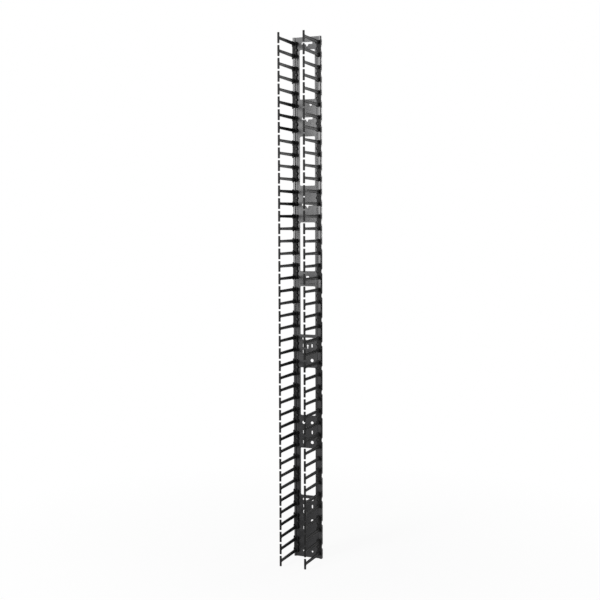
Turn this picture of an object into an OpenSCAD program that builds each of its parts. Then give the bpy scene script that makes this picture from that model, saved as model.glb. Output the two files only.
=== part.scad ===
// Vertical cable manager for a 42U rack: a punched and folded steel panel
// with two rows of moulded T-headed fingers.
// X runs across the panel, -Y points to the front, +Z is up. The origin is the
// middle of the lower pair of fixing holes, on the rear face of the web.

/* [Rack] */
// Height of one rack unit, which is also the pitch of the fingers
unit_pitch = 44.45; // [43:0.05:47]
// Panel left above the top finger's middle and below the bottom one's
end_margin = 22.5; // [21:0.5:30]

/* [Panel] */
// Width over the two side flanges
panel_w = 110.6; // [108:0.2:122]
// Thickness of the steel sheet
sheet_t = 1.5; // [1.2:0.1:2]
// Depth of a side flange, from the band's front face to its rear edge
flange_d = 12; // [10:0.5:18]
// Inner radius of the folded corners
bend_r = 1.2; // [0.8:0.1:2]
// Distance that the web lies behind the bands
web_recess = 4; // [3:0.2:5]
// Width of the raised band along each side
band_w = 8.6; // [8.2:0.2:9.4]
// Width of the slope between a band and the web
slope_w = 1.2; // [0.8:0.1:1.6]
// Radius of the half-round notches in the side flanges
notch_r = 8.5; // [5:0.5:9]

/* [Windows] */
// Width of a cable window
window_w = 60; // [50:1:62]
// Height of a cable window in rack units
window_units = 4; // [3.5:0.05:4.2]
// Corner radius of a window
window_r = 4; // [2:0.5:8]
// Depth of the turned lip round a window, behind the web's front face
lip_d = 5; // [3:0.5:8]

/* [Slots and holes] */
// Width of a hanging slot
hanger_w = 42; // [30:1:46]
// Height of a hanging slot's two arms
hanger_h = 7.4; // [5:0.2:10]
// Depth of the notch in which the hanging peg rests
hanger_drop = 8; // [4:0.5:10]
// Diameter of the plain round holes
cable_hole_d = 11.6; // [8:0.2:14]
// Width of the tie slots
tie_slot_w = 5; // [4.4:0.2:7]
// Length of the tie slots
tie_slot_l = 12.6; // [10:0.2:16]
// Distance between the two columns of holes and tie slots
column_gap = 34; // [28:0.5:38]
// Diameter of the fixing holes at the lower end
fixing_d = 6.6; // [5:0.1:8]

/* [Fingers] */
// Reach of a finger, from the band's front face to the front of its head
finger_reach = 144; // [110:1:170]
// Distance between the two rows of fingers
row_gap = 95.6; // [94.4:0.2:96.4]
// Width of a finger bar
bar_w = 5.4; // [4.4:0.1:6.4]
// Height of a finger bar at its root
bar_root_h = 11; // [10:0.2:13]
// Height of a finger bar behind its head
bar_tip_h = 8.6; // [7:0.2:10]
// Depth of the pocket in each side of a finger bar
pocket_d = 1.5; // [0.8:0.1:1.8]
// Height of a finger's T head
head_h = 38.6; // [34:0.2:41]
// Width of a finger's T head
head_w = 6; // [5:0.2:8]
// Thickness of a finger's T head
head_t = 3.2; // [2.4:0.1:4]

/* [Finger bases] */
// Height of the block at the root of a finger
base_h = 15; // [14:0.5:17]
// Thickness of that block in front of the band
base_t = 4; // [3.4:0.2:6]
// Thickness of the strap that joins a pair of fingers
strap_t = 2.2; // [1.6:0.1:3]
// Height of the cheek that laps a side flange beside a finger
cheek_h = 20; // [18:0.5:24]
// Thickness of that cheek
cheek_t = 1.1; // [0.8:0.1:1.5]
// Diameter of the snap peg behind each finger
peg_d = 4.6; // [4:0.1:4.8]
// Distance of the rivet from the panel's side
rivet_inset = 13.3; // [13.2:0.1:13.8]
// Outer diameter of the ring round a rivet
ring_d = 12.6; // [11.6:0.2:14]
// Diameter of a push rivet's head
rivet_head_d = 7.8; // [7:0.1:8.4]
// Diameter of a push rivet's shank
rivet_shank_d = 3.8; // [3.2:0.1:4]
// Clearance round the pegs and the rivets
fit_gap = 0.2; // [0.15:0.05:0.3]

/* [Hidden] */
LOWER_PAIRS = 4;
UPPER_PAIRS = 17;
PAIRS = LOWER_PAIRS + UPPER_PAIRS;
LONE_FINGER = 2 * LOWER_PAIRS;
TOP_FINGER = 2 * PAIRS;
SIDES = ["left", "right"];

function two_digits(n) = n < 10 ? str("0", n) : str(n);
function pair_name(side, p) = str("finger_pair_", side, "_", two_digits(p + 1));

$fn = 48;
panel_top = TOP_FINGER * unit_pitch + end_margin;
panel_h = panel_top + end_margin;
half_w = panel_w / 2;
web_front = -sheet_t;
band_front = web_front - web_recess;
band_back = band_front + sheet_t;
flange_rear = band_front + flange_d;
band_in = half_w - band_w;
slope_foot = band_in - slope_w;
row_x = row_gap / 2;
rivet_x = half_w - rivet_inset;
peg_x = half_w - sheet_t - bend_r - peg_d / 2;
base_front = band_front - base_t;
cut = 1;

// A pair's lower finger, counted from the bottom. The lone finger comes
// between the lower and the upper pairs.
function lower_finger(p) = p < LOWER_PAIRS ? 2 * p : 2 * p + 1;
function finger_z(n) = n * unit_pitch;
function pair_z(p) = finger_z(lower_finger(p) + 0.5);

// Windows: three in the upper half and three closer ones in the lower half.
upper_windows = [for (i = [0:2]) 37.5 - 7 * i];
lower_windows = [for (i = [0:2]) 18.25 - 6.75 * i];
window_floors = [for (u = concat(upper_windows, lower_windows)) finger_z(u)];
window_h = window_units * unit_pitch;

// Points of an arc from angle a0 to a1 about a centre
function arc(centre, r, a0, a1, steps = 4) =
    [for (i = [0:steps]) let (a = a0 + (a1 - a0) * i / steps) centre + r * [cos(a), sin(a)]];

// Copies its children to the right row, or mirrored to the left one
module on_side(side) {
    mirror([side == "left" ? 1 : 0, 0, 0]) children();
}

// A round cutter or bar along Y, from y0 to y1
module rod_y(x, z, d, y0, y1) {
    translate([x, y1, z]) rotate([90, 0, 0]) cylinder(d = d, h = y1 - y0);
}

// An XZ outline given thickness along Y, from y0 to y1
module slab_y(y0, y1) {
    translate([0, y1, 0]) rotate([90, 0, 0]) linear_extrude(y1 - y0) children();
}

// A rectangle with round corners, standing on z = 0 and centred on x = 0
module round_rect(w, h, r) {
    translate([-w / 2 + r, 0]) square([w - 2 * r, h]);
    translate([-w / 2, r]) square([w, h - 2 * r]);
    for (x = [-1, 1], z = [r, h - r]) translate([x * (w / 2 - r), z]) circle(r);
}

// ---- Panel ----

// Right half of the folded section, from the middle out and back
function half_section() = concat(
    [[0, web_front], [slope_foot, web_front], [band_in, band_front]],
    arc([half_w - sheet_t - bend_r, band_front + sheet_t + bend_r], sheet_t + bend_r, -90, 0),
    [[half_w, flange_rear], [half_w - sheet_t, flange_rear]],
    arc([half_w - sheet_t - bend_r, band_front + sheet_t + bend_r], bend_r, 0, -90),
    [[band_in + sheet_t * slope_w / web_recess, band_back], [slope_foot + sheet_t * slope_w / web_recess, 0]]);

module section() {
    right = half_section();
    left = [for (i = [len(right) - 1:-1:1]) [-right[i].x, right[i].y]];
    polygon(concat(right, [[0, 0]], left));
}

// Hanging slot: two arms with a tapered peg notch below their middle,
// measured down from the top edge of the arms
module hanging_slot() {
    mouth_w = 0.32 * hanger_w;
    seat_r = 2.6;
    slab_y(-sheet_t - cut, cut) {
        translate([0, -hanger_h]) round_rect(hanger_w, hanger_h, 2.4);
        polygon([[-mouth_w / 2, -hanger_h / 2], [mouth_w / 2, -hanger_h / 2],
            [seat_r, seat_r - hanger_h - hanger_drop], [-seat_r, seat_r - hanger_h - hanger_drop]]);
        translate([0, seat_r - hanger_h - hanger_drop]) circle(seat_r);
    }
}

module tie_slot(x, z) {
    translate([x, 0, z - tie_slot_l / 2]) slab_y(-sheet_t - cut, cut)
        round_rect(tie_slot_w, tie_slot_l, tie_slot_w / 2 - 0.1);
}

module web_hole(x, z, d) {
    rod_y(x, z, d, -sheet_t - cut, cut);
}

module tie_slot_row(z) {
    for (x = [-1, 1]) tie_slot(x * column_gap / 2, z);
}

// Openings below the two middle windows: a round hole, an offset slot and a hanging slot
module upper_plate_holes(z) {
    web_hole(column_gap / 2 - 3, z - 19, cable_hole_d - 1.6);
    tie_slot(4 - column_gap / 2, z - 36);
    translate([0, 0, z - 65]) hanging_slot();
}

// Openings below a lower window: a hanging slot, then slots and a round hole
module lower_plate_holes(z) {
    translate([0, 0, z - 11.6]) hanging_slot();
    tie_slot_row(z - 41);
    tie_slot(-column_gap / 2, z - 63);
    web_hole(column_gap / 2, z - 95, cable_hole_d);
}

module plate_holes() {
    translate([0, 0, panel_top - 18.5]) hanging_slot();
    for (i = [0:1]) upper_plate_holes(window_floors[i]);
    // short plate between the two groups of windows
    translate([0, 0, window_floors[2] - 25.4]) slab_y(-sheet_t - cut, cut)
        round_rect(cable_hole_d, tie_slot_w + 2.6, 2);
    lower_plate_holes(window_floors[3]);
    // peg keyhole between the slots of that plate
    web_hole(0, window_floors[3] - 41, 7);
    translate([0, 0, window_floors[3] - 52]) slab_y(-sheet_t - cut, cut) round_rect(3.4, 10, 1.6);
    // plate with two holes, two slots, then a slot and a hole
    for (x = [-1, 1]) web_hole(x * column_gap / 2, window_floors[4] - 27, cable_hole_d - 0.8);
    tie_slot_row(window_floors[4] - 62.5);
    tie_slot(-column_gap / 2, window_floors[4] - 100);
    web_hole(column_gap / 2, window_floors[4] - 100, cable_hole_d);
    lower_plate_holes(window_floors[5]);
    tie_slot(-column_gap / 2, window_floors[5] - 124);
    for (x = [-1, 1]) web_hole(x * column_gap / 2, 0, fixing_d);
}

// Holes for the snap pegs and rivets, and the notches in the side flanges
module finger_seats() {
    for (n = [0:TOP_FINGER])
        rod_y(peg_x, finger_z(n), peg_d + 2 * fit_gap, band_front - cut, band_back + cut);
    for (p = [0:PAIRS - 1]) {
        web_hole(rivet_x, pair_z(p), rivet_shank_d + 2 * fit_gap);
        translate([half_w - sheet_t - cut, flange_rear, pair_z(p)]) rotate([0, 90, 0])
            cylinder(r = notch_r, h = sheet_t + 2 * cut);
    }
}

// Pressed swage, a low ridge along Z on the web's front face
module swage(x, z, len) {
    translate([x, web_front, z - len / 2]) linear_extrude(len)
        polygon([[-1.9, 0], [-1, -1.1], [1, -1.1], [1.9, 0]]);
}

module swages() {
    swage_l = unit_pitch - base_h - 6;
    for (p = [0:PAIRS - 2]) {
        gap = (lower_finger(p) + lower_finger(p + 1) + 1) / 2;
        if (p != LOWER_PAIRS - 1) for (x = [-1, 1]) swage(x * (rivet_x - 4), finger_z(gap), swage_l);
    }
    // cross swage under the short plate's hole
    translate([0, 0, window_floors[3] + window_h + 9.5]) rotate([0, 90, 0])
        translate([0, 0, 0]) swage(0, 0, window_w - 4);
}

module back_panel() {
    color([0.16, 0.16, 0.17]) {
        difference() {
            translate([0, 0, -end_margin]) linear_extrude(panel_h) section();
            for (z = window_floors) translate([0, 0, z]) slab_y(-sheet_t - cut, cut)
                round_rect(window_w, window_h, window_r);
            plate_holes();
            for (side = SIDES) on_side(side) finger_seats();
        }
        for (z = window_floors) translate([0, 0, z]) slab_y(web_front, web_front + lip_d)
            difference() {
                translate([0, -sheet_t]) round_rect(window_w + 2 * sheet_t, window_h + 2 * sheet_t, window_r + sheet_t);
                round_rect(window_w, window_h, window_r);
            }
        swages();
    }
}

// ---- Fingers ----

// Side outline of a bar in YZ: flared at the root and behind the head
module bar_outline(inset = 0) {
    root = finger_reach - base_t;
    tip = head_t;
    top = concat(
        [[root, bar_root_h / 2 + 3], [root - 4, bar_root_h / 2 + 1], [root - 12, bar_root_h / 2]],
        [[tip + 10, bar_tip_h / 2], [tip + 3, bar_tip_h / 2 + 1.4], [tip, bar_tip_h / 2 + 4]]);
    polygon(concat(top, [for (i = [len(top) - 1:-1:0]) [top[i].x, -top[i].y]]));
}

// Pocket in the side of a bar, which leaves a flange above and below
module pocket_outline() {
    flange = 2;
    near = finger_reach - base_t - 12;
    far = head_t + 10;
    polygon([[near, bar_root_h / 2 - flange], [far, bar_tip_h / 2 - flange],
        [far, flange - bar_tip_h / 2], [near, flange - bar_root_h / 2]]);
}

// A YZ outline, measured back from the front of the head, given a width along X
module slab_x(x0, x1) {
    translate([x0, band_front - finger_reach, 0]) rotate([90, 0, 90]) linear_extrude(x1 - x0) children();
}

module head() {
    translate([row_x, 0, -head_h / 2]) slab_y(band_front - finger_reach, band_front - finger_reach + head_t)
        round_rect(head_w, head_h, head_w / 2 - 0.1);
}

module bar() {
    difference() {
        slab_x(row_x - bar_w / 2, row_x + bar_w / 2) bar_outline();
        for (x = [row_x - bar_w / 2 - cut, row_x + bar_w / 2 - pocket_d])
            slab_x(x, x + pocket_d + cut) pocket_outline();
    }
}

// Snap peg through the band, with a barb behind it
module peg() {
    rod_y(peg_x, 0, peg_d, band_front - 0.5, band_back + 1.6);
    translate([peg_x, band_back + fit_gap, 0]) rotate([-90, 0, 0])
        cylinder(d1 = peg_d + 0.7, d2 = peg_d - 1, h = 2.6);
}

// Block on the band, its foot in the recess, its tongue on the web and its
// cheek beside the flange
module base() {
    foot_in = rivet_x - 4;
    tongue_in = foot_in - 5;
    translate([0, 0, -base_h / 2]) {
        slab_y(base_front, band_front) translate([foot_in, 0]) square([half_w - foot_in, base_h]);
        slab_y(band_front, web_front) translate([foot_in, 0]) square([slope_foot - foot_in - 1, base_h]);
    }
    slab_y(web_front - 2.2, web_front)
        polygon([[foot_in, base_h / 2], [foot_in, -base_h / 2], [tongue_in, 1 - base_h / 4], [tongue_in, base_h / 4 - 1]]);
    translate([half_w, base_front, -cheek_h / 2]) cube([cheek_t, flange_d + base_t - 5, cheek_h]);
    translate([half_w - 2, base_front, -cheek_h / 2]) cube([2, base_t, cheek_h]);
}

module finger() {
    head();
    bar();
    base();
    peg();
}

// Strap between two fingers, with the ring and seat for its rivet
module strap() {
    mid = unit_pitch / 2;
    seat = band_front - strap_t - 0.6;
    difference() {
        union() {
            slab_y(band_front - strap_t, band_front)
                translate([rivet_x - 3, base_h / 2 - 1]) square([half_w - rivet_x + 3, unit_pitch - base_h + 2]);
            rod_y(rivet_x, mid, ring_d, seat, band_front);
            rod_y(rivet_x, mid, 2 * (slope_foot - rivet_x - 0.2), band_front - 0.5, web_front);
        }
        rod_y(rivet_x, mid, rivet_head_d + 2 * fit_gap, seat - cut, seat + 1.8);
        rod_y(rivet_x, mid, rivet_shank_d + 2 * fit_gap, seat, web_front + cut);
    }
}

module finger_pair(side, p) {
    color([0.07, 0.07, 0.07]) on_side(side) translate([0, 0, finger_z(lower_finger(p))]) {
        finger();
        translate([0, 0, unit_pitch]) finger();
        strap();
    }
}

module lone_finger(side) {
    color([0.07, 0.07, 0.07]) on_side(side) translate([0, 0, finger_z(LONE_FINGER)]) finger();
}

// ---- Push rivets ----

module push_rivet() {
    seat = band_front - strap_t + 1.2;
    difference() {
        union() {
            rod_y(rivet_x, 0, rivet_head_d, seat - 1.2, seat);
            rod_y(rivet_x, 0, rivet_shank_d, seat - 0.2, 2);
            translate([rivet_x, fit_gap, 0]) rotate([-90, 0, 0])
                cylinder(d1 = rivet_shank_d + 1.4, d2 = rivet_shank_d - 1, h = 3);
        }
        rod_y(rivet_x, 0, 2.6, seat - 1.2 - cut, seat - 0.2);
    }
}

module push_rivets(side) {
    color([0.1, 0.1, 0.1]) on_side(side)
        for (p = [0:PAIRS - 1]) translate([0, 0, pair_z(p)]) push_rivet();
}

back_panel();
for (side = SIDES) {
    for (p = [0:PAIRS - 1])
        finger_pair(side, p);
    lone_finger(side);
    push_rivets(side);
}
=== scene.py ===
"""Looks, light and camera for a vertical cable manager with two rows of fingers.

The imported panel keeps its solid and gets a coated-steel finish. Every finger
moulding and every row of push rivets is rebuilt with rounded edges, flared
roots and moulded detail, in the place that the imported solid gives. Lengths in
the classes are millimetres, and everything in the scene is in metres.
"""
import logging
import math
from dataclasses import dataclass, field
from enum import Enum
from typing import Sequence

import bmesh
import bpy
from mathutils import Matrix, Vector


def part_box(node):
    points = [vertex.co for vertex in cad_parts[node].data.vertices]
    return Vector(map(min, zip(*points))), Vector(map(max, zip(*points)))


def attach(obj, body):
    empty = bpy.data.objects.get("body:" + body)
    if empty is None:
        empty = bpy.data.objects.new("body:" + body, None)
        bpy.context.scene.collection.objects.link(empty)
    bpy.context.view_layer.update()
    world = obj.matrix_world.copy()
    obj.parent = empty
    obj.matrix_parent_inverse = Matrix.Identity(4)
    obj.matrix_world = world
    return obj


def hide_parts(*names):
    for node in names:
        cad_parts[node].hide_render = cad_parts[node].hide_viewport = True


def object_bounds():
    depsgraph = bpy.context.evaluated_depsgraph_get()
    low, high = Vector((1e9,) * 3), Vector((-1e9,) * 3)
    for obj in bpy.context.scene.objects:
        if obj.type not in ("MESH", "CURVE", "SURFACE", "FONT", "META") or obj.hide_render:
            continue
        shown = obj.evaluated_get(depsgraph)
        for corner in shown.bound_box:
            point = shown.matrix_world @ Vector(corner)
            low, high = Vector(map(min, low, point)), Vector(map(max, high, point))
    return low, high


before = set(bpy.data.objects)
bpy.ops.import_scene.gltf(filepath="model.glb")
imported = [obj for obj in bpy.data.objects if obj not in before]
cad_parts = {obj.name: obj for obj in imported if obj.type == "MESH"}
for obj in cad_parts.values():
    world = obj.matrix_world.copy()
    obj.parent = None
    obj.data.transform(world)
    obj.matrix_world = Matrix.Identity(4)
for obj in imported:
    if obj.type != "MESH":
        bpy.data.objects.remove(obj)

LOG = logging.getLogger("cable_manager")
MM = 0.001
BODY = "root"
CAD_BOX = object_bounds()

# Straight pieces in a quarter of a block's edge, and in a bar's flare
EDGE_STEPS = 3
FLARE_STEPS = 6
# Depth that one shell sinks into another, in millimetres
SINK = 0.5
# Distance from a pocket's end, in millimetres, and share of its depth there
POCKET_ENDS = ((0.4, 0.35), (1.2, 0.85), (2.4, 1.0))
# Turn of the flares at a bar's head and root, in degrees
TIP_SWEEP = 60
ROOT_SWEEP = 30
# Length of the flare behind a head, as a share of its radius
TIP_RUN = 0.87

Point = tuple[float, float]
Triple = tuple[float, float, float]
Colour = tuple[float, float, float, float]
Socket = bpy.types.NodeSocket
WHITE: Triple = (1.0, 1.0, 1.0)


class Side(Enum):
    """The two rows of fingers, with the sign of their X."""

    LEFT = -1
    RIGHT = 1


class Axis(Enum):
    """The axis that a block's profile is extruded along."""

    X = 0
    Y = 1


# ---- Mesh helpers ----


def lay_ring(points: Sequence[Point], axis: Axis, depth: float) -> list[Vector]:
    """Places a flat outline at a depth along an axis.

    Args:
        points: The outline, as (y, z) for Axis.X or (x, z) for Axis.Y.
        axis: The axis that the outline faces.
        depth: Where the outline lies along that axis, in millimetres.

    Returns:
        The outline's corners in space, in millimetres.
    """
    if axis is Axis.X:
        return [Vector((depth, a, b)) for a, b in points]
    return [Vector((a, depth, b)) for a, b in points]


def add_loft(bm: bmesh.types.BMesh, rings: Sequence[Sequence[Vector]]) -> None:
    """Adds a closed shell through rings with the same number of corners.

    Args:
        bm: The mesh that gets the shell.
        rings: The rings in order, in millimetres.
    """
    loops = [[bm.verts.new(p * MM) for p in ring] for ring in rings]
    count = len(loops[0])
    faces = [bm.faces.new(loops[0]), bm.faces.new(loops[-1])]
    for low, high in zip(loops, loops[1:]):
        for i in range(count):
            j = (i + 1) % count
            faces.append(bm.faces.new((low[i], low[j], high[j], high[i])))
    bmesh.ops.recalc_face_normals(bm, faces=faces)


def round_rectangle(
    centre: Point, size: Point, radius: float, steps: int = 4
) -> list[Point]:
    """Outlines a rectangle with round corners.

    Args:
        centre: The middle of the rectangle.
        size: Its width and height.
        radius: The radius of its corners.
        steps: The number of straight pieces in each corner.

    Returns:
        The outline's points, counterclockwise.
    """
    least = 0.02
    radius = max(least, min(radius, min(size) / 2 - least / 2))
    half = (size[0] / 2 - radius, size[1] / 2 - radius)
    points = []
    for quarter, (sx, sz) in enumerate(((1, 1), (-1, 1), (-1, -1), (1, -1))):
        for i in range(steps + 1):
            angle = math.radians(90 * (quarter + i / steps))
            points.append(
                (
                    centre[0] + sx * half[0] + radius * math.cos(angle),
                    centre[1] + sz * half[1] + radius * math.sin(angle),
                )
            )
    return points


@dataclass(frozen=True)
class RoundBlock:
    """A block with a rounded-rectangle face and softened edges.

    Args:
        axis: The axis through the face.
        centre: The middle of the face.
        size: Width and height of the face.
        near: Lower end along the axis.
        far: Upper end along the axis.
        corner: Radius of the face's corners.
        edge: Radius of the edges round both ends.
    """

    axis: Axis
    centre: Point
    size: Point
    near: float
    far: float
    corner: float = 0.8
    edge: float = 0.35

    def add_to(self, bm: bmesh.types.BMesh) -> None:
        """Adds the block's shell to a mesh.

        Args:
            bm: The mesh that gets the shell.
        """
        rings = []
        for end, sign in ((self.near, 1), (self.far, -1)):
            for i in range(EDGE_STEPS + 1)[::sign]:
                angle = math.radians(90 * i / EDGE_STEPS)
                inset = self.edge * (1 - math.sin(angle))
                depth = end + sign * self.edge * (1 - math.cos(angle))
                size = (self.size[0] - 2 * inset, self.size[1] - 2 * inset)
                outline = round_rectangle(self.centre, size, self.corner - inset)
                rings.append(lay_ring(outline, self.axis, depth))
        add_loft(bm, rings)


def add_turned(
    bm: bmesh.types.BMesh,
    axis_x: float,
    axis_z: float,
    profile: Sequence[Point],
    around: int = 40,
) -> None:
    """Adds a shell turned round a line along Y.

    Args:
        bm: The mesh that gets the shell.
        axis_x: X of the line.
        axis_z: Z of the line.
        profile: (radius, y) from the front to the back.
        around: Number of facets round the line.
    """
    rings = []
    for radius, y in profile:
        ring = []
        for i in range(around):
            angle = 2 * math.pi * i / around
            x = axis_x + radius * math.cos(angle)
            z = axis_z + radius * math.sin(angle)
            ring.append(Vector((x, y, z)))
        rings.append(ring)
    add_loft(bm, rings)


def new_object(name: str, bm: bmesh.types.BMesh) -> bpy.types.Object:
    """Turns a mesh under construction into a linked object.

    Args:
        name: The name of the object and its mesh.
        bm: The mesh, which is freed.

    Returns:
        The new object.
    """
    mesh = bpy.data.meshes.new(name)
    bm.to_mesh(mesh)
    bm.free()
    thing = bpy.data.objects.new(name, mesh)
    bpy.context.scene.collection.objects.link(thing)
    return thing


def fused_mesh(
    name: str, solid: bmesh.types.BMesh, cutter: bmesh.types.BMesh
) -> bpy.types.Mesh:
    """Fuses overlapping shells into one skin and cuts the cutters out of it.

    Args:
        name: The name of the new mesh.
        solid: Overlapping closed shells.
        cutter: Closed shells to cut away.

    Returns:
        The clean mesh, shaded smooth with its sharp edges kept.
    """
    body, tool = new_object(name, solid), new_object(name + "_cutter", cutter)
    boolean = body.modifiers.new("fuse", "BOOLEAN")
    boolean.operation, boolean.solver = "DIFFERENCE", "EXACT"
    boolean.use_self, boolean.object = True, tool
    graph = bpy.context.evaluated_depsgraph_get()
    mesh = bpy.data.meshes.new_from_object(body.evaluated_get(graph))
    for spare in (body, tool):
        data = spare.data
        bpy.data.objects.remove(spare)
        bpy.data.meshes.remove(data)
    mesh.name = name
    weld(mesh)
    return mesh


def weld(mesh: bpy.types.Mesh, sharp_above: float = 38.0) -> None:
    """Merges doubled corners and sets smooth shading with sharp edges.

    Args:
        mesh: The mesh to clean.
        sharp_above: Edges that turn by more degrees than this stay sharp.
    """
    bm = bmesh.new()
    bm.from_mesh(mesh)
    bmesh.ops.remove_doubles(bm, verts=bm.verts[:], dist=0.002 * MM)
    bmesh.ops.dissolve_degenerate(bm, edges=bm.edges[:], dist=0.001 * MM)
    bm.to_mesh(mesh)
    bm.free()
    mesh.polygons.foreach_set("use_smooth", [True] * len(mesh.polygons))
    mesh.set_sharp_from_angle(angle=math.radians(sharp_above))
    mesh.update()


# ---- Finishes ----


class NodeSheet:
    """Short calls for building one material's node tree."""

    def __init__(self, name: str) -> None:
        """Starts a material with a Principled shader.

        Args:
            name: The material's name.
        """
        self.material = bpy.data.materials.new(name)
        self.material.use_nodes = True
        self.tree = self.material.node_tree
        self.shader = self.tree.nodes["Principled BSDF"]
        self.coords = self.add("ShaderNodeTexCoord").outputs["Object"]

    def add(self, kind: str, **settings: object) -> bpy.types.Node:
        """Adds a node and sets its properties.

        Args:
            kind: The node's type.
            **settings: Properties of the node.

        Returns:
            The new node.
        """
        made = self.tree.nodes.new(kind)
        for key, value in settings.items():
            setattr(made, key, value)
        return made

    def plug(self, source: object, target: Socket) -> None:
        """Links a socket, or sets the value where the source isn't one.

        Args:
            source: A socket, a number or a colour.
            target: The input that gets it.
        """
        if isinstance(source, bpy.types.NodeSocket):
            self.tree.links.new(source, target)
        else:
            target.default_value = source

    def stretched(self, scale: Triple) -> Socket:
        """Multiplies the object coordinates.

        Args:
            scale: Factor for each axis.

        Returns:
            The multiplied coordinates.
        """
        mapping = self.add("ShaderNodeMapping")
        self.plug(self.coords, mapping.inputs["Vector"])
        mapping.inputs["Scale"].default_value = scale
        return mapping.outputs["Vector"]

    def noise(
        self, per_metre: float, detail: float = 2.0, where: Socket | None = None
    ) -> Socket:
        """Adds a noise texture.

        Args:
            per_metre: Number of features in a metre.
            detail: Octaves of finer noise.
            where: Coordinates, or None for the object's own.

        Returns:
            The noise value, round 0.5.
        """
        texture = self.add("ShaderNodeTexNoise")
        self.plug(where or self.coords, texture.inputs["Vector"])
        texture.inputs["Scale"].default_value = per_metre
        texture.inputs["Detail"].default_value = detail
        return texture.outputs["Fac"]

    def maths(self, operation: str, a: object, b: object = 0.0) -> Socket:
        """Adds a Math node on two values.

        Args:
            operation: The node's operation.
            a: The first value, or its socket.
            b: The second value, or its socket.

        Returns:
            The result.
        """
        made = self.add("ShaderNodeMath", operation=operation)
        self.plug(a, made.inputs[0])
        self.plug(b, made.inputs[1])
        return made.outputs[0]

    def spread(
        self, value: Socket, low: float, high: float, to_low: float, to_high: float
    ) -> Socket:
        """Maps a value from one range to another, clamped.

        Args:
            value: The value to map.
            low: Start of its range.
            high: End of its range.
            to_low: Result at the start.
            to_high: Result at the end.

        Returns:
            The mapped value.
        """
        made = self.add("ShaderNodeMapRange")
        limits = {"From Min": low, "From Max": high, "To Min": to_low, "To Max": to_high}
        for key, number in limits.items():
            made.inputs[key].default_value = number
        self.plug(value, made.inputs["Value"])
        return made.outputs["Result"]

    def blend(self, share: object, first: object, second: object) -> Socket:
        """Mixes two colours.

        Args:
            share: Share of the second colour, or its socket.
            first: The first colour, or its socket.
            second: The second colour, or its socket.

        Returns:
            The mixed colour.
        """
        made = self.add("ShaderNodeMix", data_type="RGBA")
        self.plug(share, made.inputs["Factor"])
        self.plug(first, made.inputs["A"])
        self.plug(second, made.inputs["B"])
        return made.outputs["Result"]

    def bump(
        self, height: Socket, depth_mm: float, strength: float, under: Socket | None = None
    ) -> Socket:
        """Adds a bump on a height, over another normal if one is given.

        Args:
            height: The height, from 0 to 1.
            depth_mm: Its full depth in millimetres.
            strength: How much of it shows.
            under: The normal below it.

        Returns:
            The bumped normal.
        """
        made = self.add("ShaderNodeBump")
        made.inputs["Strength"].default_value = strength
        made.inputs["Distance"].default_value = depth_mm * MM
        self.plug(height, made.inputs["Height"])
        if under is not None:
            self.plug(under, made.inputs["Normal"])
        return made.outputs["Normal"]

    def soft_edges(self, radius_mm: float) -> tuple[Socket, Socket]:
        """Rounds the shading at edges.

        Args:
            radius_mm: The radius of the rounding.

        Returns:
            The rounded normal, and a mask that is 1 on the edges.
        """
        made = self.add("ShaderNodeBevel", samples=4)
        made.inputs["Radius"].default_value = radius_mm * MM
        geometry = self.add("ShaderNodeNewGeometry")
        dot = self.add("ShaderNodeVectorMath", operation="DOT_PRODUCT")
        self.plug(made.outputs["Normal"], dot.inputs[0])
        self.plug(geometry.outputs["Normal"], dot.inputs[1])
        mask = self.spread(dot.outputs["Value"], 0.98, 0.8, 0.0, 1.0)
        return made.outputs["Normal"], mask

    def set_shader(self, **values: object) -> None:
        """Sets or links the shader's sockets, named with underscores for spaces."""
        for key, value in values.items():
            self.plug(value, self.shader.inputs[key.replace("_", " ")])


def grey(level: float, tint: Triple = WHITE) -> Colour:
    """Returns a linear colour of one level with a slight tint."""
    return (level * tint[0], level * tint[1], level * tint[2], 1.0)


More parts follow.
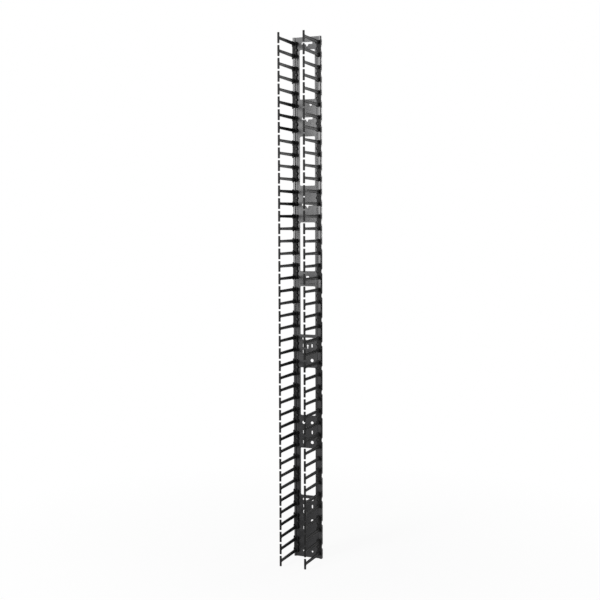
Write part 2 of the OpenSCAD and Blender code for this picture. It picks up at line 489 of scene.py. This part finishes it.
@dataclass(frozen=True)
class CoatedSteel:
    """Black powder coat on steel, glossier where the raised bands were rubbed.

    Args:
        slot: The record's material slot.
        level: Linear grey of the coat.
        rough: Roughness of the web.
        band_rough: Roughness of the raised bands and flanges.
        gloss: Specular level of the coat.
        band_from: Distance of the bands from the middle, in millimetres.
        band_fade: Half width of the change between web and band, in millimetres.
        edge_radius: Radius of the softened edges, in millimetres.
        edge_level: Linear grey where the edges are worn.
        dust_level: Linear grey of the dust.
    """

    slot: str = "panel_coat"
    level: float = 0.022
    rough: float = 0.34
    band_rough: float = 0.24
    gloss: float = 0.35
    band_from: float = 45.6
    band_fade: float = 0.4
    edge_radius: float = 0.5
    edge_level: float = 0.085
    dust_level: float = 0.06

    def build(self) -> bpy.types.Material:
        """Builds the material.

        Returns:
            The powder coat.
        """
        sheet = NodeSheet(self.slot)
        edge_normal, edge = sheet.soft_edges(self.edge_radius)
        parts = sheet.add("ShaderNodeSeparateXYZ")
        sheet.plug(sheet.coords, parts.inputs["Vector"])
        off_centre = sheet.maths("ABSOLUTE", parts.outputs["X"])
        band_start = (self.band_from - self.band_fade) * MM
        band_end = (self.band_from + self.band_fade) * MM
        band = sheet.spread(off_centre, band_start, band_end, 0.0, 1.0)
        cloud = sheet.noise(9.0, 3.0)
        rubbed = sheet.noise(1.0, 3.0, sheet.stretched((160.0, 160.0, 14.0)))
        web_rough = sheet.spread(cloud, 0.3, 0.7, self.rough - 0.04, self.rough + 0.05)
        bare_rough = sheet.spread(rubbed, 0.3, 0.7, self.band_rough - 0.04, self.band_rough + 0.06)
        rough = sheet.add("ShaderNodeMix", data_type="FLOAT")
        sheet.plug(band, rough.inputs["Factor"])
        sheet.plug(web_rough, rough.inputs["A"])
        sheet.plug(bare_rough, rough.inputs["B"])
        tone = sheet.blend(
            sheet.spread(cloud, 0.25, 0.75, 0.0, 1.0),
            grey(self.level * 0.85, (1.0, 1.0, 1.04)),
            grey(self.level * 1.2, (1.0, 0.99, 1.06)),
        )
        patches = sheet.spread(sheet.noise(220.0, 3.0), 0.45, 0.7, 0.1, 0.8)
        worn = sheet.maths("MULTIPLY", edge, patches)
        colour = sheet.blend(worn, tone, grey(self.edge_level, (1.0, 1.0, 1.05)))
        dust = sheet.spread(sheet.noise(2600.0, 1.0), 0.68, 0.74, 0.0, 0.35)
        colour = sheet.blend(dust, colour, grey(self.dust_level))
        peel = sheet.bump(sheet.noise(900.0, 2.0), 0.06, 0.35, edge_normal)
        grain = sheet.bump(sheet.noise(3200.0, 1.0), 0.02, 0.25, peel)
        sheet.set_shader(
            Base_Color=colour,
            Roughness=rough.outputs["Result"],
            Specular_IOR_Level=self.gloss,
            Normal=grain,
        )
        return sheet.material


@dataclass(frozen=True)
class MouldedNylon:
    """Black moulded nylon with a fine spark texture and rubbed edges.

    Args:
        slot: The record's material slot.
        level: Linear grey of the nylon.
        rough: Roughness of the textured faces.
        gloss: Specular level.
        edge_level: Linear grey where the edges are rubbed.
        edge_radius: Radius of the softened edges, in millimetres.
    """

    slot: str = "finger_plastic"
    level: float = 0.007
    rough: float = 0.5
    gloss: float = 0.14
    edge_level: float = 0.02
    edge_radius: float = 0.35

    def build(self) -> bpy.types.Material:
        """Builds the material.

        Returns:
            The nylon.
        """
        sheet = NodeSheet(self.slot)
        edge_normal, edge = sheet.soft_edges(self.edge_radius)
        flow = sheet.noise(1.0, 3.0, sheet.stretched((90.0, 14.0, 90.0)))
        spark = sheet.noise(2400.0, 2.0)
        pits = sheet.noise(5200.0, 1.0)
        tone = sheet.blend(
            sheet.spread(flow, 0.3, 0.7, 0.0, 1.0),
            grey(self.level * 0.85),
            grey(self.level * 1.25, (1.0, 1.0, 1.03)),
        )
        patches = sheet.spread(sheet.noise(300.0, 3.0), 0.4, 0.7, 0.2, 1.0)
        rubbed = sheet.maths("MULTIPLY", edge, patches)
        colour = sheet.blend(rubbed, tone, grey(self.edge_level))
        base_rough = sheet.spread(flow, 0.3, 0.7, self.rough - 0.05, self.rough + 0.06)
        rough = sheet.maths("SUBTRACT", base_rough, sheet.maths("MULTIPLY", edge, 0.12))
        texture = sheet.bump(spark, 0.04, 0.4, edge_normal)
        fine = sheet.bump(pits, 0.015, 0.3, texture)
        sheet.set_shader(
            Base_Color=colour, Roughness=rough, Specular_IOR_Level=self.gloss, Normal=fine
        )
        return sheet.material


# ---- Fingers ----


@dataclass
class FingerMoulding:
    """A moulded finger, or a pair of them joined by a strap with a rivet ring.

    Distances along X are measured in from the panel's side face and along Y
    back from the front of the heads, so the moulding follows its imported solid.

    Args:
        side: The row that the moulding belongs to.
        fingers: Number of fingers, 1 or 2.
        pitch: Distance between the two fingers.
        row_in: Middle of the finger bars, in from the side face.
        bar_w: Width of a bar.
        bar_root: Half height of a bar at its root.
        bar_tip: Half height of a bar behind its head.
        tip_flare: Radius of the flare behind a head.
        root_flare: Radius of the flare in front of a base.
        flange: Height of a bar's upper and lower flange.
        pocket: Depth of the pocket in each side of a bar.
        head_size: Width and height of a head.
        head_t: Thickness of a head.
        reach: From the front of a head to the panel's band.
        base_t: Thickness of a base in front of the band.
        base_h: Height of a base.
        foot_in: Inner edge of a base, in from the side face.
        foot_out: Outer edge of its foot on the web, in from the side face.
        web_step: Distance of the web behind the band.
        cheek_t: Thickness of the cheek beside the flange.
        cheek_h: Height of that cheek.
        cheek_back: Rear edge of that cheek, behind the band.
        rivet_in: Middle of the rivet, in from the side face.
        ring_d: Diameter of the ring round the rivet.
        strap_t: Thickness of the strap.
        ring_proud: Height of the ring over the strap.
        seat_d: Diameter of the rivet head's recess.
        shank_d: Diameter of the hole through the strap.
        peg_in: Middle of the snap peg, in from the side face.
        peg_d: Diameter of the snap peg.
        panel_t: Thickness of the panel's sheet.
    """

    side: Side
    fingers: int = 2
    pitch: float = 44.45
    row_in: float = 7.5
    bar_w: float = 5.4
    bar_root: float = 5.9
    bar_tip: float = 4.7
    tip_flare: float = 10.0
    root_flare: float = 12.0
    flange: float = 2.2
    pocket: float = 1.5
    head_size: Point = (7.8, 38.6)
    head_t: float = 3.4
    reach: float = 144.0
    base_t: float = 4.0
    base_h: float = 15.0
    foot_in: float = 17.3
    foot_out: float = 10.8
    web_step: float = 4.0
    cheek_t: float = 1.1
    cheek_h: float = 20.0
    cheek_back: float = 7.0
    rivet_in: float = 13.3
    ring_d: float = 12.6
    strap_t: float = 2.2
    ring_proud: float = 0.6
    seat_d: float = 8.2
    shank_d: float = 4.2
    peg_in: float = 5.0
    peg_d: float = 4.6
    panel_t: float = 1.5

    def section(self, y: float, z: float, half: float, depth: float) -> list[Vector]:
        """Cuts the bar across, as an I with soft corners.

        Args:
            y: Where the cut is.
            z: Middle height of the bar.
            half: Half height of the bar there.
            depth: Depth of the side pockets there.

        Returns:
            The section's corners.
        """
        w, f = self.bar_w / 2, self.flange
        quarter = [
            (w - 1.0, half),
            (w - 0.45, half - 0.1),
            (w - 0.12, half - 0.35),
            (w, half - 0.85),
            (w, half - f + 0.3),
            (w - 0.25 * depth, half - f - 0.05),
            (w - 0.8 * depth, half - f - 0.25),
            (w - depth, half - f - 0.9),
        ]
        right = quarter + [(a, -b) for a, b in reversed(quarter)]
        ring = right + [(-a, -b) for a, b in right]
        return [Vector((-self.row_in + a, y, z + b)) for a, b in ring]

    def add_bar(self, bm: bmesh.types.BMesh, z: float) -> None:
        """Adds a bar that flares towards its base and its head.

        Args:
            bm: The mesh that gets the bar.
            z: Middle height of the bar.
        """
        root, tip = self.reach - self.base_t + SINK, self.head_t - SINK
        near, far = tip + self.tip_flare, root - self.root_flare
        full_tip = math.sin(math.radians(TIP_SWEEP))
        full_root = math.sin(math.radians(ROOT_SWEEP))
        rings = []
        for i in range(FLARE_STEPS + 1):
            angle = math.radians(TIP_SWEEP * (1 - i / FLARE_STEPS))
            rise = self.tip_flare * (1 - math.cos(angle))
            y = tip + TIP_RUN * self.tip_flare * (1 - math.sin(angle) / full_tip)
            rings.append(self.section(y, z, self.bar_tip + rise, 0.0))
        for step, share in POCKET_ENDS:
            rings.append(self.section(near + step, z, self.bar_tip, self.pocket * share))
        for step, share in reversed(POCKET_ENDS):
            rings.append(self.section(far - step, z, self.bar_root, self.pocket * share))
        rings.append(self.section(far, z, self.bar_root, 0.0))
        for i in range(FLARE_STEPS + 1):
            angle = math.radians(ROOT_SWEEP * i / FLARE_STEPS)
            rise = self.root_flare * (1 - math.cos(angle))
            y = root - self.root_flare * (full_root - math.sin(angle))
            rings.append(self.section(y, z, self.bar_root + rise, 0.0))
        add_loft(bm, rings)

    def add_base(self, bm: bmesh.types.BMesh, z: float) -> None:
        """Adds a finger's block, foot, tongue, cheek and snap peg.

        Args:
            bm: The mesh that gets them.
            z: Middle height of the finger.
        """
        front, band = self.reach - self.base_t, self.reach
        web = band + self.web_step
        block_centre = (-self.foot_in / 2 + 0.2, z)
        block_size = (self.foot_in + 0.4, self.base_h)
        foot_centre = (-(self.foot_in + self.foot_out) / 2, z)
        foot_size = (self.foot_in - self.foot_out, self.base_h)
        tongue_centre = (-self.foot_in - 2.0, z)
        tongue_size = (6.0, self.base_h / 2 + 1.2)
        cheek_centre = ((front + band + self.cheek_back) / 2, z)
        cheek_size = (self.base_t + self.cheek_back, self.cheek_h)
        lip_centre, lip_size = (-0.6, z), (3.2, self.cheek_h)
        for block in (
            RoundBlock(Axis.Y, block_centre, block_size, front, band, corner=1.6, edge=0.8),
            RoundBlock(Axis.Y, foot_centre, foot_size, band - 1, web, corner=0.6, edge=0.25),
            RoundBlock(Axis.Y, tongue_centre, tongue_size, web - 2.2, web, corner=1.8, edge=0.5),
            RoundBlock(Axis.X, cheek_centre, cheek_size, -0.01, self.cheek_t, corner=1.6, edge=0.45),
            RoundBlock(Axis.Y, lip_centre, lip_size, front, band, corner=1.2, edge=0.6),
        ):
            block.add_to(bm)
        radius, back = self.peg_d / 2, band + self.panel_t
        profile = [(radius, band - SINK), (radius, back + 0.2), (radius + 0.35, back + 0.2)]
        profile += [(radius + 0.2, back + 0.8), (radius - 0.6, back + 2.6), (radius - 0.9, back + 2.8)]
        add_turned(bm, -self.peg_in, z, profile)

    def add_head(self, bm: bmesh.types.BMesh, z: float) -> None:
        """Adds a finger's T head with round corners and softened edges.

        Args:
            bm: The mesh that gets the head.
            z: Middle height of the finger.
        """
        centre, corner = (-self.row_in, z), self.head_size[0] / 4
        head = RoundBlock(Axis.Y, centre, self.head_size, 0.0, self.head_t, corner, edge=1.1)
        head.add_to(bm)

    def add_strap(self, bm: bmesh.types.BMesh, cutter: bmesh.types.BMesh) -> None:
        """Adds the strap between two fingers, with the ring and its seat.

        Args:
            bm: The mesh that gets the strap.
            cutter: The mesh that gets what is cut away for the rivet.
        """
        band, mid = self.reach, self.pitch / 2
        web = band + self.web_step
        front = band - self.strap_t
        span = self.pitch - self.base_h + 4
        inner = self.rivet_in + 3
        RoundBlock(Axis.Y, (-inner / 2, mid), (inner, span), front, band, 0.9, 0.5).add_to(bm)
        radius = self.ring_d / 2
        proud = front - self.ring_proud
        ring = [(radius - 1.6, proud), (radius - 0.9, proud), (radius - 0.35, proud + 0.15)]
        ring += [(radius, proud + 0.7), (radius, band)]
        add_turned(bm, -self.rivet_in, mid, ring, around=56)
        add_turned(bm, -self.rivet_in, mid, [(3.3, band - SINK), (3.3, web)])
        seat, depth = self.seat_d / 2, proud + 1.8
        hole = [(seat + 0.4, proud - 1), (seat + 0.4, proud), (seat, proud + 0.4), (seat, depth)]
        add_turned(cutter, -self.rivet_in, mid, hole, around=48)
        shank = self.shank_d / 2
        add_turned(cutter, -self.rivet_in, mid, [(shank, depth - SINK), (shank, web + 1)])

    def mesh(self) -> bpy.types.Mesh:
        """Builds the moulding's mesh.

        Returns:
            The mesh, with its origin at the side face behind the lower head's middle.
        """
        solid, cutter = bmesh.new(), bmesh.new()
        for n in range(self.fingers):
            z = n * self.pitch
            self.add_head(solid, z)
            self.add_bar(solid, z)
            self.add_base(solid, z)
        if self.fingers == 2:
            self.add_strap(solid, cutter)
        for shells in (solid, cutter):
            if self.side is Side.LEFT:
                bmesh.ops.scale(shells, vec=(-1, 1, 1), verts=shells.verts[:])
                bmesh.ops.reverse_faces(shells, faces=shells.faces[:])
        return fused_mesh(f"moulding_{self.side.name.lower()}_{self.fingers}", solid, cutter)

    def place(self, mesh: bpy.types.Mesh, node: str, finish: bpy.types.Material) -> bpy.types.Object:
        """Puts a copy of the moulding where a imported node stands.

        Args:
            mesh: The moulding's mesh.
            node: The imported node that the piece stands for.
            finish: The piece's material.

        Returns:
            The new piece.
        """
        low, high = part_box(node)
        cheek = self.cheek_t * MM
        face = high.x - cheek if self.side is Side.RIGHT else low.x + cheek
        piece = bpy.data.objects.new("moulded_" + node, mesh)
        bpy.context.scene.collection.objects.link(piece)
        piece.location = (face, low.y, low.z + self.head_size[1] / 2 * MM)
        if not mesh.materials:
            mesh.materials.append(finish)
        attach(piece, BODY)
        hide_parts(node)
        LOG.info("%s stands for %s", piece.name, node)
        return piece


# ---- Rivets ----


@dataclass
class RivetRow:
    """The push rivets of one row, each with its expansion pin.

    Args:
        side: The row that the rivets hold.
        head_d: Diameter of a rivet's head.
        shank_d: Diameter of its shank.
        barb_d: Diameter of its spread barb.
        head_t: Thickness of the head.
    """

    side: Side
    head_d: float = 7.8
    shank_d: float = 3.8
    barb_d: float = 5.2
    head_t: float = 1.2

    def profile(self, front: float, back: float) -> list[Point]:
        """Outlines half a rivet, from its pin's dome to its barb.

        Args:
            front: Y of the head's front face.
            back: Y of the barb's end.

        Returns:
            (radius, y) from the front to the back.
        """
        head, shank, barb = self.head_d / 2, self.shank_d / 2, self.barb_d / 2
        pin = ((0.02, 0.35), (0.7, 0.4), (1.1, 0.55), (1.25, 0.95), (1.35, 1.0))
        rim = ((1.5, 0.9), (1.6, 0.15), (2.0, 0.0), (3.0, 0.08), (3.6, 0.3))
        flange = ((head, 0.7), (head, self.head_t), (shank, self.head_t))
        tail = ((shank, 3.0), (barb, 3.0), (barb - 0.2, 2.2), (shank - 0.6, 0.2), (0.6, 0.0))
        points = [(radius, front + step) for radius, step in pin + rim + flange]
        return points + [(radius, back - step) for radius, step in tail]

    def build(self, node: str, finish: bpy.types.Material) -> bpy.types.Object:
        """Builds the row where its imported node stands.

        Args:
            node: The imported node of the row.
            finish: The rivets' material.

        Returns:
            The row as one piece.
        """
        low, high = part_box(node)
        x = (low.x + high.x) / 2 / MM
        moulding = FingerMoulding(self.side)
        rise = moulding.head_size[1] / 2 + moulding.pitch / 2
        bm = bmesh.new()
        outline = self.profile(low.y / MM, high.y / MM)
        prefix = f"finger_pair_{self.side.name.lower()}_"
        for pair in sorted(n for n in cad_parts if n.startswith(prefix)):
            add_turned(bm, x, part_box(pair)[0].z / MM + rise, outline, around=36)
        piece = new_object(f"rivet_row_{self.side.name.lower()}", bm)
        weld(piece.data)
        piece.data.materials.append(finish)
        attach(piece, BODY)
        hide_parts(node)
        LOG.info("%s has its rivets at x = %.1f mm", piece.name, x)
        return piece


# ---- Panel ----


@dataclass
class BackPanel:
    """The punched and folded panel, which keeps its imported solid.

    Args:
        node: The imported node.
        finish: The coat on it.
    """

    node: str = "back_panel"
    finish: CoatedSteel = field(default_factory=CoatedSteel)

    def dress(self) -> bpy.types.Object:
        """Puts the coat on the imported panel.

        Returns:
            The panel.
        """
        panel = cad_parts[self.node]
        coat = self.finish.build()
        panel.data.materials.clear()
        panel.data.materials.append(coat)
        LOG.info("%s wears %s", panel.name, coat.name)
        return panel


# ---- Studio ----


@dataclass
class SoftBox:
    """A rectangular studio lamp aimed at a point.

    Args:
        name: The lamp's name.
        azimuth: Direction from the object, in degrees from the front to the right.
        distance: Distance from the object's axis, in metres.
        height: Height of its middle, in metres.
        size: Width and height, in metres.
        radiance: Brightness of its face.
        aim: Height of the point that it looks at, in metres.
    """

    name: str
    azimuth: float
    distance: float
    height: float
    size: Point
    radiance: float
    aim: float

    def build(self) -> bpy.types.Object:
        """Builds the lamp.

        Returns:
            The lamp.
        """
        lamp = bpy.data.lights.new(self.name, "AREA")
        lamp.shape = "RECTANGLE"
        lamp.size, lamp.size_y = self.size
        lamp.energy = self.radiance * math.pi * self.size[0] * self.size[1]
        thing = bpy.data.objects.new(self.name, lamp)
        bpy.context.scene.collection.objects.link(thing)
        angle = math.radians(self.azimuth)
        out, front = math.sin(angle), -math.cos(angle)
        thing.location = (self.distance * out, self.distance * front, self.height)
        look = Vector((0, 0, self.aim)) - thing.location
        thing.rotation_euler = look.to_track_quat("-Z", "Y").to_euler()
        thing.visible_camera = False
        return thing


@dataclass
class DarkCard:
    """A black card beside the set, which only reflections show.

    Args:
        azimuth: Direction from the object, in degrees from the front.
        distance: Distance from the object's axis, in metres.
        height: Height of its middle, in metres.
        size: Width and height, in metres.
    """

    azimuth: float
    distance: float
    height: float
    size: Point

    def build(self) -> bpy.types.Object:
        """Builds the card.

        Returns:
            The card.
        """
        bm = bmesh.new()
        bmesh.ops.create_grid(bm, x_segments=2, y_segments=2, size=0.5)
        card = new_object("dark_card", bm)
        card.scale = (self.size[0], self.size[1], 1.0)
        angle = math.radians(self.azimuth)
        out, front = math.sin(angle), -math.cos(angle)
        card.location = (self.distance * out, self.distance * front, self.height)
        look = Vector((-card.location.x, -card.location.y, 0.0))
        card.rotation_euler = look.to_track_quat("Z", "Y").to_euler()
        sheet = NodeSheet("card_black")
        sheet.set_shader(Base_Color=grey(0.01), Roughness=1.0, Specular_IOR_Level=0.0)
        card.data.materials.append(sheet.material)
        card.visible_camera = card.visible_diffuse = card.visible_shadow = False
        return card


@dataclass
class Studio:
    """The pale floor, the white surroundings, the lamps and the camera.

    Args:
        ambient: Light of the surroundings on the object.
        floor_size: Width of the floor, in metres.
        floor_level: Linear grey of the floor.
        floor_glow: Share of plain white in the floor near the object.
        glow_span: Distances between which that share grows to all, in metres.
        floor_drop: Distance of the floor below the object, in metres.
        lens: Focal length of the camera, in millimetres.
        camera_at: The camera's place, in metres.
        azimuth: The camera's direction from the front, in degrees.
        pitch: How far it looks down, in degrees.
        roll: Its turn about its own axis, in degrees.
    """

    ambient: float = 0.3
    floor_size: float = 16.0
    floor_level: float = 0.85
    floor_glow: float = 0.93
    glow_span: Point = (0.35, 1.6)
    floor_drop: float = 0.0002
    lens: float = 64.0
    camera_at: Triple = (1.4835, -3.6096, 1.2164)
    azimuth: float = 22.76
    pitch: float = 4.07
    roll: float = -0.18

    def seen(self, tree: bpy.types.NodeTree) -> Socket:
        """Adds a value that is 1 for camera, glossy and transmission rays.

        Args:
            tree: The node tree that gets it.

        Returns:
            The value.
        """
        path = tree.nodes.new("ShaderNodeLightPath")
        total = path.outputs["Is Camera Ray"]
        for name in ("Is Glossy Ray", "Is Transmission Ray"):
            most = tree.nodes.new("ShaderNodeMath")
            most.operation = "MAXIMUM"
            tree.links.new(total, most.inputs[0])
            tree.links.new(path.outputs[name], most.inputs[1])
            total = most.outputs[0]
        return total

    def surroundings(self) -> None:
        """Makes the surroundings white to look at and dimmer as a light."""
        world = bpy.data.worlds.new("surroundings")
        bpy.context.scene.world = world
        world.use_nodes = True
        tree = world.node_tree
        plain = tree.nodes["Background"]
        plain.inputs["Color"].default_value = grey(self.ambient)
        white = tree.nodes.new("ShaderNodeBackground")
        white.inputs["Color"].default_value = grey(1.0)
        mix = tree.nodes.new("ShaderNodeMixShader")
        tree.links.new(self.seen(tree), mix.inputs[0])
        tree.links.new(plain.outputs[0], mix.inputs[1])
        tree.links.new(white.outputs[0], mix.inputs[2])
        tree.links.new(mix.outputs[0], tree.nodes["World Output"].inputs["Surface"])

    def floor_finish(self) -> bpy.types.Material:
        """Builds the floor's material, which turns plain white away from the object.

        Returns:
            The material.
        """
        sheet = NodeSheet("pale_floor")
        tree = sheet.tree
        sheet.set_shader(Base_Color=grey(self.floor_level), Roughness=0.9, Specular_IOR_Level=0.1)
        away = sheet.add("ShaderNodeVectorMath", operation="LENGTH")
        sheet.plug(sheet.coords, away.inputs[0])
        share = sheet.spread(away.outputs["Value"], *self.glow_span, self.floor_glow, 1.0)
        glow = sheet.add("ShaderNodeEmission")
        mix = sheet.add("ShaderNodeMixShader")
        sheet.plug(sheet.maths("MULTIPLY", share, self.seen(tree)), mix.inputs[0])
        sheet.plug(sheet.shader.outputs[0], mix.inputs[1])
        sheet.plug(glow.outputs[0], mix.inputs[2])
        sheet.plug(mix.outputs[0], tree.nodes["Material Output"].inputs["Surface"])
        return sheet.material

    def floor(self) -> bpy.types.Object:
        """Lays the floor under the object.

        Returns:
            The floor.
        """
        bm = bmesh.new()
        bmesh.ops.create_grid(bm, x_segments=8, y_segments=8, size=self.floor_size / 2)
        ground = new_object("floor", bm)
        ground.location.z = CAD_BOX[0].z - self.floor_drop
        ground.data.materials.append(self.floor_finish())
        return ground

    def camera(self) -> bpy.types.Object:
        """Sets up the camera.

        Returns:
            The camera.
        """
        data = bpy.data.cameras.new("camera")
        data.lens, data.sensor_width = self.lens, 36.0
        data.clip_start, data.clip_end = 0.05, 60.0
        thing = bpy.data.objects.new("camera", data)
        bpy.context.scene.collection.objects.link(thing)
        a, e, r = (math.radians(v) for v in (self.azimuth, self.pitch, self.roll))
        back = Vector((math.sin(a) * math.cos(e), -math.cos(a) * math.cos(e), math.sin(e)))
        level = Vector((math.cos(a), math.sin(a), 0.0))
        up = level.cross(-back)
        right = math.cos(r) * level + math.sin(r) * up
        top = -math.sin(r) * level + math.cos(r) * up
        turn = Matrix((right, top, back)).transposed().to_4x4()
        thing.matrix_world = Matrix.Translation(Vector(self.camera_at)) @ turn
        bpy.context.scene.camera = thing
        return thing

    def build(self) -> None:
        """Builds the whole studio."""
        bpy.context.scene.view_settings.view_transform = "Standard"
        self.camera()
        self.surroundings()
        self.floor()
        key = SoftBox(
            "key_softbox",
            azimuth=-22.8,
            distance=3.2,
            height=1.75,
            size=(0.95, 1.9),
            radiance=16.0,
            aim=1.15,
        )
        rim = SoftBox(
            "rim_softbox",
            azimuth=157.2,
            distance=3.2,
            height=1.9,
            size=(0.8, 1.7),
            radiance=5.0,
            aim=1.3,
        )
        card = DarkCard(azimuth=157.2, distance=2.0, height=0.25, size=(1.8, 1.7))
        for thing in (key, rim, card):
            thing.build()


# ---- The whole part ----


def dress_fingers() -> None:
    """Builds every finger moulding of both rows."""
    nylon = MouldedNylon().build()
    for side in Side:
        name = side.name.lower()
        for fingers, prefix in ((2, f"finger_pair_{name}_"), (1, f"lone_finger_{name}")):
            moulding = FingerMoulding(side, fingers)
            mesh = moulding.mesh()
            for node in sorted(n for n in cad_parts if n.startswith(prefix)):
                moulding.place(mesh, node, nylon)


def dress_rivets() -> None:
    """Builds the two rows of push rivets."""
    nylon = MouldedNylon(slot="rivet_plastic", level=0.012, rough=0.36, gloss=0.3).build()
    for side in Side:
        RivetRow(side).build(f"push_rivets_{side.name.lower()}", nylon)


def main() -> None:
    """Builds the studio and every piece in order."""
    logging.basicConfig(level=logging.INFO, format="%(name)s: %(message)s")
    Studio().build()
    BackPanel().dress()
    dress_fingers()
    dress_rivets()


if __name__ == "__main__":
    main()
